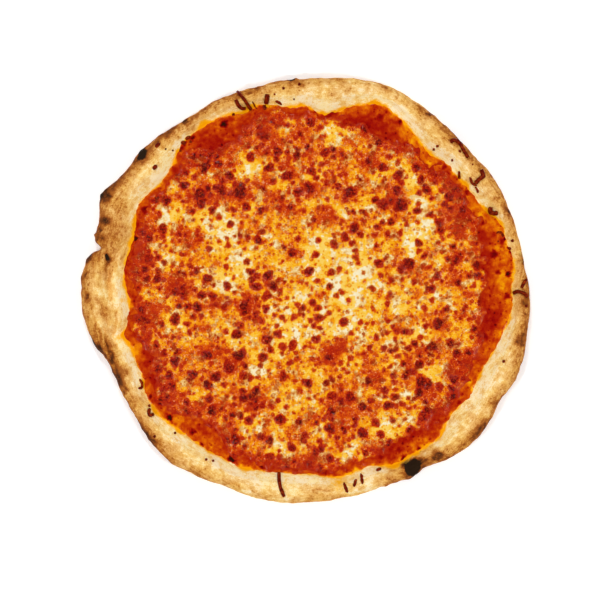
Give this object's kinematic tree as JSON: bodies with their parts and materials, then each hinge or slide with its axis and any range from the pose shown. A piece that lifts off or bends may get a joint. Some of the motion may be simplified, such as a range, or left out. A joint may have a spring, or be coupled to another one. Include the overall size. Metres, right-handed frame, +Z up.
{
  "type": "margherita pizza",
  "caption": "Round thin-crust pizza with an uneven browned rim, tomato sauce and melted grated cheese, lying flat.",
  "frame": {"origin": "on the flat underside, below the middle of the pizza's bounding box", "axes": "+Z up through the toppings, +X along the longest width, with the folded ear of the rim on the -X side"},
  "size_m": [0.329, 0.3114, 0.0189],
  "materials": {
    "baked_crust": "dry floury baked dough, cream to golden brown with burnt spots",
    "tomato_sauce": "wet, oily, orange to dark red",
    "melted_cheese": "melted, oily, cream and yellow with red-brown blisters",
    "baked_strand": "dried dark red-brown cheese"
  },
  "bodies": {
    "root": {"crust": "baked_crust", "tomato_sauce": "tomato_sauce", "melted_cheese": "melted_cheese", "strand_top_long": "baked_strand", "strand_top_hook": "baked_strand", "strand_top_pod": "baked_strand", "strand_right_arc": "baked_strand", "strand_right_barb": "baked_strand", "strand_right_chip": "baked_strand", "strand_edge_upper": "baked_strand", "strand_edge_lower": "baked_strand", "strand_bottom_long": "baked_strand", "strand_left_hook": "baked_strand"}
  },
  "joints": []
}
